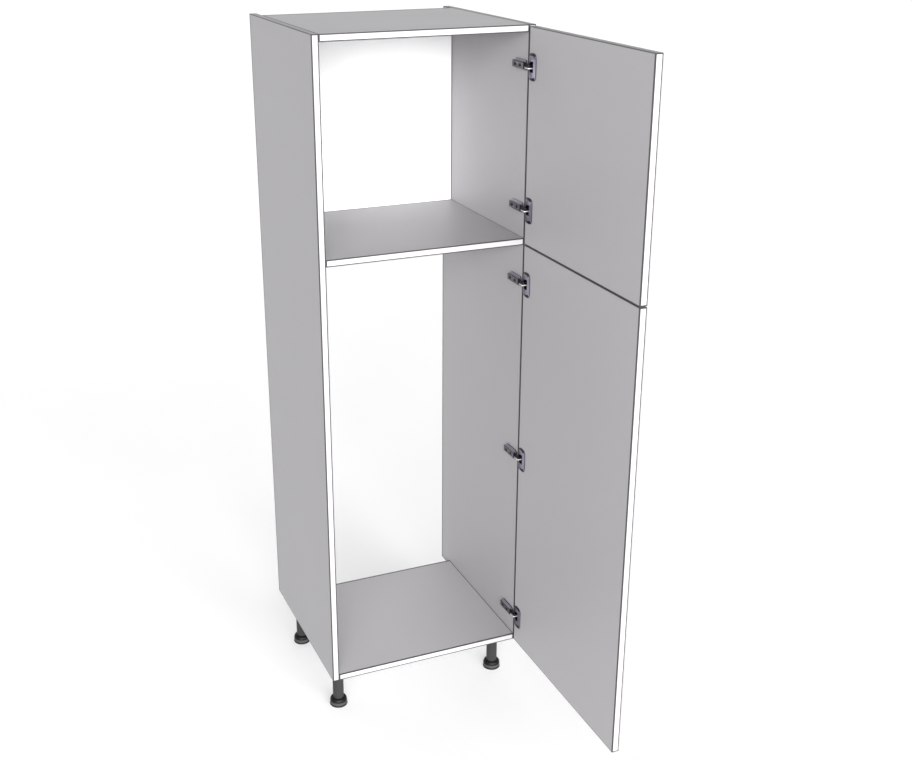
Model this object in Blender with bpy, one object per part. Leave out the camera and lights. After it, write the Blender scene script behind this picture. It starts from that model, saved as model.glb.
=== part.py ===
# A tall fridge housing unit: an upper cupboard over a niche for a fridge, two doors on concealed hinges, and
# four adjustable legs. Sizes are in metres and +Z is up. The unit's front faces -Y. The origin is on the
# floor, in the middle of the space that the unit takes up with both doors standing open.

import math

import bmesh
import bpy
from mathutils import Matrix

# Cabinet.
cabinet_width = 0.600
cabinet_height = 1.825
side_depth = 0.556
shelf_depth = 0.490
board_thickness = 0.019
back_thickness = 0.008
niche_height = 1.228
edging_thickness = 0.001
joint_gap = 0.0003
board_arris = 0.0004
edging_arris = 0.0003

# Doors.
door_thickness = 0.020
door_side_reveal = 0.003
door_end_reveal = 0.0035
door_front_gap = 0.003
door_meeting_gap = 0.003
lower_door_overlap = 0.0015
door_open_angle = math.radians(90)

# Hinge axis, measured from the door's hinge edge and from its inner face.
axis_from_edge = 0.0075
axis_below_face = 0.0095

# Hinge heights, as shares of their door's height, from its top end and from its bottom end.
upper_hinge_top_share = 0.1754
upper_hinge_bottom_share = 0.1684
lower_hinge_top_share = 0.0860
lower_hinge_bottom_share = 0.0715

# Hinge cup and its flange.
cup_centre_from_edge = 0.0208
cup_radius = 0.0172
cup_depth = 0.013
cup_wall = 0.0008
flange_thickness = 0.0012
flange_half_width = 0.0203
flange_half_length = 0.035
flange_corner = 0.014
flange_offset = 0.0013
cup_opening_reach = 0.018
cup_opening_half_length = 0.014
lug_inner = 0.0046
lug_outer = 0.0072
lug_reach = 0.0028
lug_top = 0.0026

# Hinge pin.
pin_radius = 0.0012
pin_half_length = 0.007
pin_running_gap = 0.00015
pin_chamfer = 0.0002

# Cup screws.
screw_head_radius = 0.004
screw_head_edge = 0.0004
screw_shank_radius = 0.00175
screw_shank_length = 0.012
screw_point_length = 0.003
screw_spacing = 0.058
screw_offset = 0.0095
screw_recess_half_length = 0.0022
screw_recess_half_width = 0.0004
screw_recess_depth = 0.0007

# Hinge arm.
arm_height = 0.0115
arm_wall = 0.0013
arm_half_width = 0.0092
arm_front_setback = 0.007
arm_rear_setback = 0.072
arm_corner = 0.003
neck_half_width = 0.004
neck_thickness = 0.002
neck_from_panel = 0.0064
neck_rise = 0.0003
neck_shoulder = 0.003
neck_root_length = 0.006
strap_half_width = 0.0086
strap_thickness = 0.0014
strap_end = 0.004
knuckle_radius = 0.0022
arm_slot_half_length = 0.0052
arm_slot_half_width = 0.0033
arm_slot_corner = 0.0030
arm_front_slot_setback = 0.0257
arm_rear_slot_setback = 0.0535

# Hinge mounting plate.
plate_thickness = 0.003
plate_front_setback = 0.0055
plate_rear_setback = 0.0725
plate_half_width = 0.0140
plate_corner = 0.008
rail_front_setback = 0.014
rail_rear_setback = 0.066
rail_hole_radius = 0.0026
rail_hole_depth = 0.007

# Legs.
leg_height = 0.150
leg_side_inset = 0.045
leg_front_inset = 0.096
leg_rear_inset = 0.024
socket_half_width = 0.028
socket_half_depth = 0.024
socket_corner = 0.006
socket_plate_thickness = 0.004
socket_collar_radius = 0.0195
socket_collar_length = 0.014
tube_radius = 0.0165
tube_wall = 0.0022
tube_chamfer = 0.0006
stem_running_gap = 0.0004
foot_base_radius = 0.0250
foot_base_edge = 0.0016
foot_brim_radius = 0.0268
foot_brim_height = 0.0034
foot_wall_radius = 0.0256
foot_wall_low = 0.0065
foot_wall_high = 0.0140
foot_collar_wall = 0.0017
foot_height = 0.026
foot_groove_depth = 0.009
foot_stem_length = 0.045

# One overrun serves every cut, so that a cutter ends clear of the face that it opens.
cut_overrun = 0.001

# Facets of round pieces.
bore_segments = 28
leg_segments = 24
small_segments = 12
corner_steps = 4
shoulder_steps = 3

# Colours, as linear red, green and blue, with roughness and metallic value.
board_look = ((0.440, 0.430, 0.445), 0.45, 0.0)
edging_look = ((0.900, 0.895, 0.900), 0.35, 0.0)
back_look = ((0.880, 0.880, 0.880), 0.45, 0.0)
hinge_look = ((0.330, 0.315, 0.370), 0.32, 1.0)
steel_look = ((0.120, 0.115, 0.130), 0.35, 1.0)
tube_look = ((0.100, 0.095, 0.100), 0.50, 0.0)
foot_look = ((0.028, 0.026, 0.028), 0.45, 0.0)

# Places that follow from the sizes above.
niche_top = board_thickness + niche_height
lower_door_top = niche_top + lower_door_overlap
upper_door_bottom = lower_door_top + door_meeting_gap
upper_door_top = cabinet_height - door_end_reveal
upper_door_height = upper_door_top - upper_door_bottom
lower_door_height = lower_door_top - door_end_reveal
door_width = cabinet_width - 2 * door_side_reveal
axis_x = cabinet_width - door_side_reveal - axis_from_edge
axis_y = -(door_front_gap + axis_below_face)
door_reach = door_width - axis_from_edge - axis_y
front_plane = (door_reach - side_depth) / 2
edging_end = edging_thickness + joint_gap
bore_radius = cup_radius + joint_gap
cup_x = axis_from_edge - cup_centre_from_edge
flange_low = axis_below_face + joint_gap
flange_high = flange_low + flange_thickness
flange_x = cup_x - flange_offset
screw_x = cup_x - screw_offset
panel_x = cabinet_width - board_thickness - axis_x
arm_top_x = panel_x - arm_height
cabinet_front_y = -axis_y


def clear_scene():
    for old in list(bpy.data.objects):
        bpy.data.objects.remove(old, do_unlink=True)


def finish_mesh(name, shape):
    bmesh.ops.recalc_face_normals(shape, faces=shape.faces)
    mesh = bpy.data.meshes.new(name)
    shape.to_mesh(mesh)
    shape.free()
    return mesh


def box_mesh(name, low, high, arris=0):
    shape = bmesh.new()
    bmesh.ops.create_cube(shape, size=1)
    bmesh.ops.scale(shape, verts=shape.verts, vec=[b - a for a, b in zip(low, high)])
    bmesh.ops.translate(shape, verts=shape.verts, vec=[(a + b) / 2 for a, b in zip(low, high)])
    if arris:
        bmesh.ops.bevel(shape, geom=shape.edges[:], offset=arris, segments=1, affect="EDGES")
    return finish_mesh(name, shape)


# The corner arcs of a rectangle centred on (across, along), as points in order.
def rounded_outline(across, along, half_width, half_length, corner):
    points = []
    for quarter in range(4):
        start = quarter * math.pi / 2
        side = 1 if quarter in (0, 3) else -1
        end = 1 if quarter in (0, 1) else -1
        for step in range(corner_steps + 1):
            angle = start + step / corner_steps * math.pi / 2
            points.append((
                across + side * (half_width - corner) + corner * math.cos(angle),
                along + end * (half_length - corner) + corner * math.sin(angle),
            ))
    return points


def circle_outline(across, along, radius, segments):
    turns = [2 * math.pi * (step + 0.5) / segments for step in range(segments)]
    return [(across + radius * math.cos(turn), along + radius * math.sin(turn)) for turn in turns]


# An outline pushed along an axis. Its points lie across X and Y for Z, X and Z for Y, and Y and Z for X.
def extruded_mesh(name, outline, axis, low, high):
    shape = bmesh.new()
    corners = []
    for across, along in outline:
        place = {"X": (low, across, along), "Y": (across, low, along), "Z": (across, along, low)}[axis]
        corners.append(shape.verts.new(place))
    face = shape.faces.new(corners)
    pushed = bmesh.ops.extrude_face_region(shape, geom=[face])
    moved = [item for item in pushed["geom"] if isinstance(item, bmesh.types.BMVert)]
    length = high - low
    push = {"X": (length, 0, 0), "Y": (0, length, 0), "Z": (0, 0, length)}[axis]
    bmesh.ops.translate(shape, verts=moved, vec=push)
    return finish_mesh(name, shape)


# A profile of (radius, height) points turned about Z. A closed profile stays clear of the axis.
def turned_mesh(name, profile, segments, closed=False):
    shape = bmesh.new()
    rings = []
    for radius, height in profile:
        if radius == 0:
            rings.append([shape.verts.new((0, 0, height))])
        else:
            rings.append([shape.verts.new((x, y, height)) for x, y in circle_outline(0, 0, radius, segments)])
    pairs = list(zip(rings, rings[1:]))
    if closed:
        pairs.append((rings[-1], rings[0]))
    for lower, upper in pairs:
        for step in range(segments):
            following = (step + 1) % segments
            corners = [lower[step % len(lower)], lower[following % len(lower)]]
            corners += [upper[following % len(upper)], upper[step % len(upper)]]
            shape.faces.new(list(dict.fromkeys(corners)))
    mesh = finish_mesh(name, shape)
    smooth(mesh)
    return mesh


def smooth(mesh):
    mesh.shade_smooth()
    mesh.set_sharp_from_angle(angle=math.radians(35))


def stand_along_y(mesh):
    mesh.transform(Matrix.Rotation(math.radians(-90), 4, "X"))
    return mesh


# The mesh after Boolean steps, each an operation and the mesh that does it.
def carved_mesh(name, base, steps):
    collection = bpy.context.scene.collection
    body = bpy.data.objects.new(name, base)
    collection.objects.link(body)
    helpers = []
    for number, (operation, tool_mesh) in enumerate(steps):
        tool = bpy.data.objects.new(f"{name}_tool_{number}", tool_mesh)
        collection.objects.link(tool)
        helpers.append(tool)
        modifier = body.modifiers.new(tool.name, "BOOLEAN")
        modifier.operation = operation
        modifier.solver = "EXACT"
        modifier.object = tool
    graph = bpy.context.evaluated_depsgraph_get()
    mesh = bpy.data.meshes.new_from_object(body.evaluated_get(graph))
    mesh.name = name
    for helper in [body, *helpers]:
        bpy.data.objects.remove(helper, do_unlink=True)
    return mesh


def make_material(name, look):
    colour, roughness, metallic = look
    material = bpy.data.materials.new(name)
    material.use_nodes = True
    material.diffuse_color = (*colour, 1)
    surface = material.node_tree.nodes["Principled BSDF"]
    surface.inputs["Base Color"].default_value = (*colour, 1)
    surface.inputs["Roughness"].default_value = roughness
    surface.inputs["Metallic"].default_value = metallic
    return material


def add_empty(name, parent, location):
    empty = bpy.data.objects.new(name, None)
    bpy.context.scene.collection.objects.link(empty)
    empty.parent = parent
    empty.location = location
    return empty


def add_part(name, mesh, look, parent, location=(0, 0, 0)):
    part = bpy.data.objects.new(name, mesh)
    bpy.context.scene.collection.objects.link(part)
    part.parent = parent
    part.location = location
    if not mesh.materials:
        mesh.materials.append(None)
    part.material_slots[0].link = "OBJECT"
    part.material_slots[0].material = make_material(name, look)
    return part


# An upright side panel and the strip on its front edge.
def add_side(side, inner_x, outer_x, cabinet):
    low_x, high_x = sorted((inner_x, outer_x))
    name = f"{side}_side_panel"
    panel = box_mesh(name, (low_x, edging_end, 0), (high_x, side_depth, cabinet_height), board_arris)
    add_part(name, panel, board_look, cabinet)
    name = f"{side}_side_edging"
    strip = box_mesh(name, (low_x, 0, 0), (high_x, edging_thickness, cabinet_height), edging_arris)
    add_part(name, strip, edging_look, cabinet)


# A level board between the sides and the strip on its front edge.
def add_level_board(name, low_z, cabinet):
    low_x = board_thickness + joint_gap
    high_x = cabinet_width - low_x
    high_z = low_z + board_thickness
    board = box_mesh(name, (low_x, edging_end, low_z), (high_x, shelf_depth, high_z), board_arris)
    add_part(name, board, board_look, cabinet)
    strip = box_mesh(f"{name}_edging", (low_x, 0, low_z), (high_x, edging_thickness, high_z), edging_arris)
    add_part(f"{name}_edging", strip, edging_look, cabinet)


def add_back_panel(cabinet):
    low_x = board_thickness + joint_gap
    low_y = shelf_depth + joint_gap
    low = (low_x, low_y, niche_top)
    high = (cabinet_width - low_x, low_y + back_thickness, cabinet_height)
    add_part("upper_back_panel", box_mesh("upper_back_panel", low, high, board_arris), back_look, cabinet)


# A door, shut, about its hinge axis. Its inner face has bores for the cups and pilot holes for their screws.
def door_mesh(name, height, hinge_heights):
    outer_y = axis_below_face - door_thickness
    free_x = axis_from_edge - door_width
    low = (free_x + edging_end, outer_y, 0)
    high = (axis_from_edge - edging_end, axis_below_face, height)
    steps = []
    for hinge_z in hinge_heights:
        bore = circle_outline(cup_x, hinge_z, bore_radius, bore_segments)
        bore_low = axis_below_face - cup_depth - joint_gap
        bore_high = axis_below_face + cut_overrun
        steps.append(("DIFFERENCE", extruded_mesh("cup_bore", bore, "Y", bore_low, bore_high)))
        for screw_z in screw_heights(hinge_z):
            pilot = circle_outline(screw_x, screw_z, screw_shank_radius + joint_gap, small_segments)
            pilot_low = axis_below_face - screw_shank_length - joint_gap
            steps.append(("DIFFERENCE", extruded_mesh("pilot_hole", pilot, "Y", pilot_low, bore_high)))
    return carved_mesh(name, box_mesh(name, low, high, board_arris), steps)


def screw_heights(hinge_z):
    return [hinge_z + screw_spacing / 2, hinge_z - screw_spacing / 2]


def add_door(name, bottom, top, hinge_places, hinge_meshes, cabinet):
    height = top - bottom
    outer_y = axis_below_face - door_thickness
    free_x = axis_from_edge - door_width
    axis = add_empty(f"{name}_axis", cabinet, (axis_x, axis_y, bottom))
    axis.rotation_euler = (0, 0, door_open_angle)
    panel = door_mesh(f"{name}_panel", height, [place - bottom for place in hinge_places.values()])
    add_part(f"{name}_panel", panel, board_look, axis)
    for edge, low_x in (("free", free_x), ("hinge", axis_from_edge - edging_thickness)):
        low = (low_x, outer_y, 0)
        high = (low_x + edging_thickness, axis_below_face, height)
        strip = box_mesh(f"{name}_{edge}_edging", low, high, edging_arris)
        add_part(f"{name}_{edge}_edging", strip, edging_look, axis)
    for place, hinge_z in hinge_places.items():
        door_z = hinge_z - bottom
        add_part(f"hinge_cup_{place}", hinge_meshes["cup"], hinge_look, axis, (0, 0, door_z))
        add_part(f"hinge_pin_{place}", hinge_meshes["pin"], steel_look, axis, (0, 0, door_z))
        for end, screw_z in zip(("high", "low"), screw_heights(door_z)):
            spot = (screw_x, flange_high, screw_z)
            add_part(f"cup_screw_{place}_{end}", hinge_meshes["screw"], steel_look, axis, spot)
        at_axis = (axis_x, axis_y, hinge_z)
        add_part(f"hinge_arm_{place}", hinge_meshes["arm"], hinge_look, cabinet, at_axis)
        add_part(f"hinge_plate_{place}", hinge_meshes["plate"], hinge_look, cabinet, at_axis)


# The hollow of a cup: a round pocket that leaves two lugs beside the pin. The flange covers the pocket's free
# side and its two ends.
def cup_hollow_mesh():
    inner_radius = cup_radius - cup_wall
    floor_y = axis_below_face - cup_depth + cup_wall
    pocket_top = flange_high + cut_overrun
    outline = circle_outline(cup_x, 0, inner_radius, bore_segments)
    pocket = extruded_mesh("cup_pocket", outline, "Y", floor_y, pocket_top)
    free_x = cup_x - cup_radius
    hinge_x = cup_x + cup_radius
    steps = []
    for low_z, high_z in ((lug_inner, lug_outer), (-lug_outer, -lug_inner)):
        low = (-lug_reach, floor_y - cut_overrun, low_z)
        steps.append(("DIFFERENCE", box_mesh("cup_lug", low, (hinge_x, lug_top, high_z))))
    for low_x, high_x, low_z, high_z in (
        (free_x, -cup_opening_reach, -cup_radius, cup_radius),
        (free_x, hinge_x, cup_opening_half_length, cup_radius),
        (free_x, hinge_x, -cup_radius, -cup_opening_half_length),
    ):
        low = (low_x, flange_low, low_z)
        high = (high_x, pocket_top + cut_overrun, high_z)
        steps.append(("DIFFERENCE", box_mesh("cup_cover", low, high)))
    return carved_mesh("cup_hollow", pocket, steps)


# A hinge cup about the hinge axis, with the oblong flange that lies on the door.
def cup_mesh():
    outline = circle_outline(cup_x, 0, cup_radius, bore_segments)
    barrel = extruded_mesh("cup_barrel", outline, "Y", axis_below_face - cup_depth, flange_high)
    plate = rounded_outline(flange_x, 0, flange_half_width, flange_half_length, flange_corner)
    flange = extruded_mesh("cup_flange", plate, "Y", flange_low, flange_high)
    pin_reach = pin_half_length + 2 * joint_gap
    pin_hole = circle_outline(0, 0, pin_radius + joint_gap, small_segments)
    steps = [
        ("UNION", flange),
        ("DIFFERENCE", cup_hollow_mesh()),
        ("DIFFERENCE", extruded_mesh("pin_hole", pin_hole, "Z", -pin_reach, pin_reach)),
    ]
    for screw_z in screw_heights(0):
        hole = circle_outline(screw_x, screw_z, screw_head_radius + joint_gap, small_segments)
        low = flange_low - cut_overrun
        steps.append(("DIFFERENCE", extruded_mesh("screw_hole", hole, "Y", low, flange_high + cut_overrun)))
    mesh = carved_mesh("hinge_cup", barrel, steps)
    smooth(mesh)
    return mesh


def pin_mesh():
    shaft = pin_half_length - pin_chamfer
    tip = pin_radius - pin_chamfer
    profile = [(0, -pin_half_length), (tip, -pin_half_length), (pin_radius, -shaft)]
    profile += [(pin_radius, shaft), (tip, pin_half_length), (0, pin_half_length)]
    return turned_mesh("hinge_pin", profile, small_segments)


# A cup screw with its head's top face at the origin and its point towards -Y.
def screw_mesh():
    head_low = -flange_thickness
    shank_low = head_low - joint_gap - screw_shank_length
    profile = [
        (0, shank_low),
        (screw_shank_radius, shank_low + screw_point_length),
        (screw_shank_radius, head_low),
        (screw_head_radius, head_low),
        (screw_head_radius, -screw_head_edge),
        (screw_head_radius - screw_head_edge, 0),
        (0, 0),
    ]
    blank = stand_along_y(turned_mesh("screw_blank", profile, small_segments))
    steps = []
    for half_x, half_z in (
        (screw_recess_half_length, screw_recess_half_width),
        (screw_recess_half_width, screw_recess_half_length),
    ):
        low = (-half_x, -screw_recess_depth, -half_z)
        steps.append(("DIFFERENCE", box_mesh("screw_recess", low, (half_x, cut_overrun, half_z))))
    mesh = carved_mesh("cup_screw", blank, steps)
    smooth(mesh)
    return mesh


# The side view of the bent strip that runs from inside the arm to the pin.
def neck_outline():
    near_x = panel_x - neck_from_panel + neck_thickness / 2
    far_x = near_x - neck_thickness
    return [
        *strip_root(neck_thickness),
        (far_x, neck_rise - neck_thickness),
        (0, neck_rise - neck_thickness),
        (0, neck_rise),
        (near_x, neck_rise),
    ]


# The side view of the wide strap on the same line, which ends short of the pin.
def strap_outline():
    near_x = panel_x - neck_from_panel + strap_thickness / 2
    return [*strip_root(strap_thickness), (near_x - strap_thickness, strap_end), (near_x, strap_end)]


# The root of a strip of that thickness, from its near shoulder through the arm to its far shoulder.
def strip_root(thickness):
    middle_x = panel_x - neck_from_panel
    root_x = arm_top_x + (neck_thickness - thickness) / 2
    root_y = cabinet_front_y + arm_front_setback
    inside_y = root_y + neck_root_length
    shoulder_y = cabinet_front_y - neck_shoulder
    return [
        (middle_x + thickness / 2, shoulder_y + thickness / 2),
        (root_x + thickness, root_y + thickness),
        (root_x + thickness, inside_y),
        (root_x, inside_y),
        (root_x, root_y),
        (middle_x - thickness / 2, shoulder_y),
    ]


# A hinge arm about the hinge axis: a channel over its plate, a bent neck and the knuckle on the pin.
def arm_mesh():
    middle_y = cabinet_front_y + (arm_front_setback + arm_rear_setback) / 2
    half_length = (arm_rear_setback - arm_front_setback) / 2
    foot_x = panel_x - plate_thickness - 2 * joint_gap
    outer = rounded_outline(middle_y, 0, half_length, arm_half_width, arm_corner)
    inner_half = arm_half_width - arm_wall
    inner = rounded_outline(middle_y, 0, half_length - arm_wall, inner_half, arm_corner - arm_wall)
    hollow = extruded_mesh("arm_hollow", inner, "X", arm_top_x + arm_wall, foot_x + cut_overrun)
    neck = extruded_mesh("arm_neck", neck_outline(), "Z", -neck_half_width, neck_half_width)
    strap = extruded_mesh("arm_strap", strap_outline(), "Z", -strap_half_width, strap_half_width)
    knuckle = circle_outline(0, 0, knuckle_radius, small_segments)
    pin_hole = circle_outline(0, 0, pin_radius + pin_running_gap, small_segments)
    reach = neck_half_width + cut_overrun
    steps = [
        ("DIFFERENCE", hollow),
        ("UNION", strap),
        ("UNION", neck),
        ("UNION", extruded_mesh("arm_knuckle", knuckle, "Z", -neck_half_width, neck_half_width)),
        ("DIFFERENCE", extruded_mesh("knuckle_hole", pin_hole, "Z", -reach, reach)),
    ]
    for setback in (arm_front_slot_setback, arm_rear_slot_setback):
        slot_y = cabinet_front_y + setback
        slot = rounded_outline(slot_y, 0, arm_slot_half_length, arm_slot_half_width, arm_slot_corner)
        cut_low = arm_top_x - cut_overrun
        cut_high = arm_top_x + arm_wall + cut_overrun
        steps.append(("DIFFERENCE", extruded_mesh("arm_slot", slot, "X", cut_low, cut_high)))
    mesh = carved_mesh("hinge_arm", extruded_mesh("arm_body", outer, "X", arm_top_x, foot_x), steps)
    smooth(mesh)
    return mesh


# A mounting plate about the hinge axis: a base on the side panel, under the arm, and the rail inside the arm.
def plate_mesh():
    seat_x = panel_x - joint_gap
    base_x = seat_x - plate_thickness
    rail_half = arm_half_width - arm_wall - joint_gap
    rail_x = arm_top_x + arm_wall + joint_gap
    middle_y = cabinet_front_y + (plate_front_setback + plate_rear_setback) / 2
    half_length = (plate_rear_setback - plate_front_setback) / 2
    outline = rounded_outline(middle_y, 0, half_length, plate_half_width, plate_corner)
    rail_low = (rail_x, cabinet_front_y + rail_front_setback, -rail_half)
    rail_high = (seat_x - plate_thickness / 2, cabinet_front_y + rail_rear_setback, rail_half)
    steps = [("UNION", box_mesh("plate_rail", rail_low, rail_high))]
    for setback in (arm_front_slot_setback, arm_rear_slot_setback):
        hole = circle_outline(cabinet_front_y + setback, 0, rail_hole_radius, small_segments)
        cutter = extruded_mesh("rail_hole", hole, "X", rail_x - cut_overrun, rail_x + rail_hole_depth)
        steps.append(("DIFFERENCE", cutter))
    return carved_mesh("hinge_plate", extruded_mesh("plate_base", outline, "X", base_x, seat_x), steps)


# A leg socket hanging from the cabinet's underside at height 0.
def socket_mesh():
    plate_low = -(joint_gap + socket_plate_thickness)
    collar_low = plate_low - socket_collar_length
    outline = rounded_outline(0, 0, socket_half_width, socket_half_depth, socket_corner)
    plate = extruded_mesh("socket_plate", outline, "Z", plate_low, -joint_gap)
    collar_outline = circle_outline(0, 0, socket_collar_radius, leg_segments)
    collar_top = plate_low + socket_plate_thickness / 2
    collar = extruded_mesh("socket_collar", collar_outline, "Z", collar_low, collar_top)
    bore_outline = circle_outline(0, 0, tube_radius + joint_gap, leg_segments)
    bore = extruded_mesh("socket_bore", bore_outline, "Z", collar_low - cut_overrun, plate_low)
    mesh = carved_mesh("leg_socket", plate, [("UNION", collar), ("DIFFERENCE", bore)])
    smooth(mesh)
    return mesh


# A leg tube hanging from height 0: its top end is in the socket and its low end stands in the foot's groove.
def tube_mesh():
    top = -(socket_plate_thickness + 2 * joint_gap)
    low = foot_height - foot_groove_depth + joint_gap - leg_height
    inner = tube_radius - tube_wall
    profile = [
        (inner, low),
        (tube_radius - tube_chamfer, low),
        (tube_radius, low + tube_chamfer),
        (tube_radius, top),
        (inner, top),
    ]
    return turned_mesh("leg_tube", profile, leg_segments, closed=True)


# A foot standing on height 0: base, brim, wall, rounded shoulder, groove for the tube and the stem inside it.
def foot_mesh():
    groove_outer = tube_radius + joint_gap
    collar_radius = groove_outer + foot_collar_wall
    groove_floor = foot_height - foot_groove_depth
    stem_radius = tube_radius - tube_wall - stem_running_gap
    stem_top = groove_floor + foot_stem_length
    profile = [
        (0, 0),
        (foot_base_radius, 0),
        (foot_brim_radius, foot_base_edge),
        (foot_brim_radius, foot_brim_height),
        (foot_wall_radius, foot_wall_low),
    ]
    for step in range(shoulder_steps + 1):
        angle = step / shoulder_steps * math.pi / 2
        radius = collar_radius + (foot_wall_radius - collar_radius) * math.cos(angle)
        height = foot_wall_high + (foot_height - foot_wall_high) * math.sin(angle)
        profile.append((radius, height))
    profile += [
        (groove_outer, foot_height),
        (groove_outer, groove_floor),
        (stem_radius, groove_floor),
        (stem_radius, stem_top),
        (0, stem_top),
    ]
    return turned_mesh("leg_foot", profile, leg_segments)


def add_legs(cabinet):
    socket = socket_mesh()
    tube = tube_mesh()
    foot = foot_mesh()
    places_y = {"front": leg_front_inset, "back": shelf_depth - leg_rear_inset}
    places_x = {"left": leg_side_inset, "right": cabinet_width - leg_side_inset}
    for end, leg_y in places_y.items():
        for side, leg_x in places_x.items():
            add_part(f"leg_socket_{end}_{side}", socket, foot_look, cabinet, (leg_x, leg_y, 0))
            add_part(f"leg_tube_{end}_{side}", tube, tube_look, cabinet, (leg_x, leg_y, 0))
            add_part(f"leg_foot_{end}_{side}", foot, foot_look, cabinet, (leg_x, leg_y, -leg_height))


def build():
    clear_scene()
    cabinet = add_empty("cabinet", None, (-cabinet_width / 2, front_plane, leg_height))
    add_side("left", board_thickness, 0, cabinet)
    add_side("right", cabinet_width - board_thickness, cabinet_width, cabinet)
    add_level_board("top_panel", cabinet_height - board_thickness, cabinet)
    add_level_board("fixed_shelf", niche_top, cabinet)
    add_level_board("bottom_panel", 0, cabinet)
    add_back_panel(cabinet)
    hinge_meshes = {
        "cup": cup_mesh(),
        "pin": pin_mesh(),
        "screw": screw_mesh(),
        "arm": arm_mesh(),
        "plate": plate_mesh(),
    }
    upper_places = {
        "upper_top": upper_door_top - upper_hinge_top_share * upper_door_height,
        "upper_bottom": upper_door_bottom + upper_hinge_bottom_share * upper_door_height,
    }
    add_door("upper_door", upper_door_bottom, upper_door_top, upper_places, hinge_meshes, cabinet)
    low_place = door_end_reveal + lower_hinge_bottom_share * lower_door_height
    high_place = lower_door_top - lower_hinge_top_share * lower_door_height
    lower_places = {
        "lower_top": high_place,
        "lower_middle": (low_place + high_place) / 2,
        "lower_bottom": low_place,
    }
    add_door("lower_door", door_end_reveal, lower_door_top, lower_places, hinge_meshes, cabinet)
    add_legs(cabinet)


build()
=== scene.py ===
import math

import bmesh
import bpy
from mathutils import Matrix, Vector


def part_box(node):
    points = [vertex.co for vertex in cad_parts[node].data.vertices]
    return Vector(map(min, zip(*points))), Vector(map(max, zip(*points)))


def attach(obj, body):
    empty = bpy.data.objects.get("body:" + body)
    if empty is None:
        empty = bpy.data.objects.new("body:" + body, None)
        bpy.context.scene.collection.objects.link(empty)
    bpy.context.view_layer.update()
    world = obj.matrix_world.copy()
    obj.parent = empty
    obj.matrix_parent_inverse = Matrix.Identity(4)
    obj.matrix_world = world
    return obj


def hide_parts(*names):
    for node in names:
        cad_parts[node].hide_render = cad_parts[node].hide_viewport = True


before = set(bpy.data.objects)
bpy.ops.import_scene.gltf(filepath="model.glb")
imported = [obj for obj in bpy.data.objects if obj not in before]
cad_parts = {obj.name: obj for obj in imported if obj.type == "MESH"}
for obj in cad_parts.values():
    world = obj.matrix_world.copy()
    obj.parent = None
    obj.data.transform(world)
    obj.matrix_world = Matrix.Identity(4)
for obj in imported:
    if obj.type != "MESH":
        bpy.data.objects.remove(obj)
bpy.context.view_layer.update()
print("frame loaded:", len(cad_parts), "nodes")


class Value:
    # one socket of a finish, so that shader maths reads as plain sums
    def __init__(self, finish, socket):
        self.finish = finish
        self.socket = socket

    def sum(self, operation, first, second):
        return self.finish.add("Math", {"operation": operation}, {0: first, 1: second})

    def __add__(self, other):
        return self.sum("ADD", self, other)

    def __radd__(self, other):
        return self.sum("ADD", other, self)

    def __sub__(self, other):
        return self.sum("SUBTRACT", self, other)

    def __rsub__(self, other):
        return self.sum("SUBTRACT", other, self)

    def __mul__(self, other):
        return self.sum("MULTIPLY", self, other)

    def least(self, other):
        return self.sum("MINIMUM", self, other)

    def most(self, other):
        return self.sum("MAXIMUM", self, other)


class Finish:
    # a node material, with one method that adds any node
    def __init__(self, name, roughness, gloss, metallic=0.0, **constants):
        self.material = bpy.data.materials.new(name)
        self.material.use_nodes = True
        self.tree = self.material.node_tree
        self.surface = self.tree.nodes["Principled BSDF"]
        self.surface.inputs["Roughness"].default_value = roughness
        self.surface.inputs["Metallic"].default_value = metallic
        self.surface.inputs["Specular IOR Level"].default_value = gloss
        for socket, value in constants.items():
            self.surface.inputs[socket].default_value = value
        self.place = self.add("TexCoord", output="Object")

    def add(self, kind, settings=None, values=None, output=0):
        node = self.tree.nodes.new("ShaderNode" + kind)
        for setting, value in (settings or {}).items():
            setattr(node, setting, value)
        for socket, value in (values or {}).items():
            self.feed(node.inputs[socket], value)
        return Value(self, node.outputs[output])

    def feed(self, socket, value):
        if isinstance(value, Value):
            self.tree.links.new(value.socket, socket)
        elif socket.type == "RGBA":
            socket.default_value = (*value, 1)
        else:
            socket.default_value = value

    def show(self, socket, value):
        self.feed(self.surface.inputs[socket], value)

    def axes(self, vector):
        node = self.add("SeparateXYZ", values={0: vector}).socket.node
        return [Value(self, output) for output in node.outputs]

    def noise(self, scale, detail, stretch=None):
        # half above 0 and half below it
        vector = self.place
        if stretch:
            vector = self.add("VectorMath", {"operation": "MULTIPLY"}, {0: vector, 1: stretch})
        return self.add("TexNoise", values={"Vector": vector, "Scale": scale, "Detail": detail}) - 0.5

    def fade(self, value, start, end):
        # 1 up to start, down to 0 at end
        return self.add("MapRange", {"interpolation_type": "SMOOTHSTEP"}, {
            "Value": value, "From Min": start, "From Max": end, "To Min": 1, "To Max": 0})

    def tint(self, colour, tone):
        return self.add("VectorMath", {"operation": "SCALE"}, {0: colour, "Scale": tone})

    def blend(self, share, first, second):
        return self.add("Mix", {"data_type": "RGBA"}, {0: share, 6: first, 7: second}, 2)

    def bump(self, height, distance):
        self.show("Normal", self.add("Bump", values={"Distance": distance, "Height": height}))


def arrisGap(finish, low, high, rearShare=1):
    # metres from a point on a box to its nearest arris: the middle one of the gaps to its pairs of faces.
    # A share below one widens the line along the rear.
    gaps = [(axis - start).least((end - axis) * share) for axis, start, end, share
            in zip(finish.axes(finish.place), low, high, (1, rearShare, 1))]
    return gaps[0].least(gaps[1]).most(gaps[0].most(gaps[1]).least(gaps[2]))


def coat(node, finish):
    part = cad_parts[node]
    part.data.materials.clear()
    part.data.materials.append(finish.material)


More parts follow.
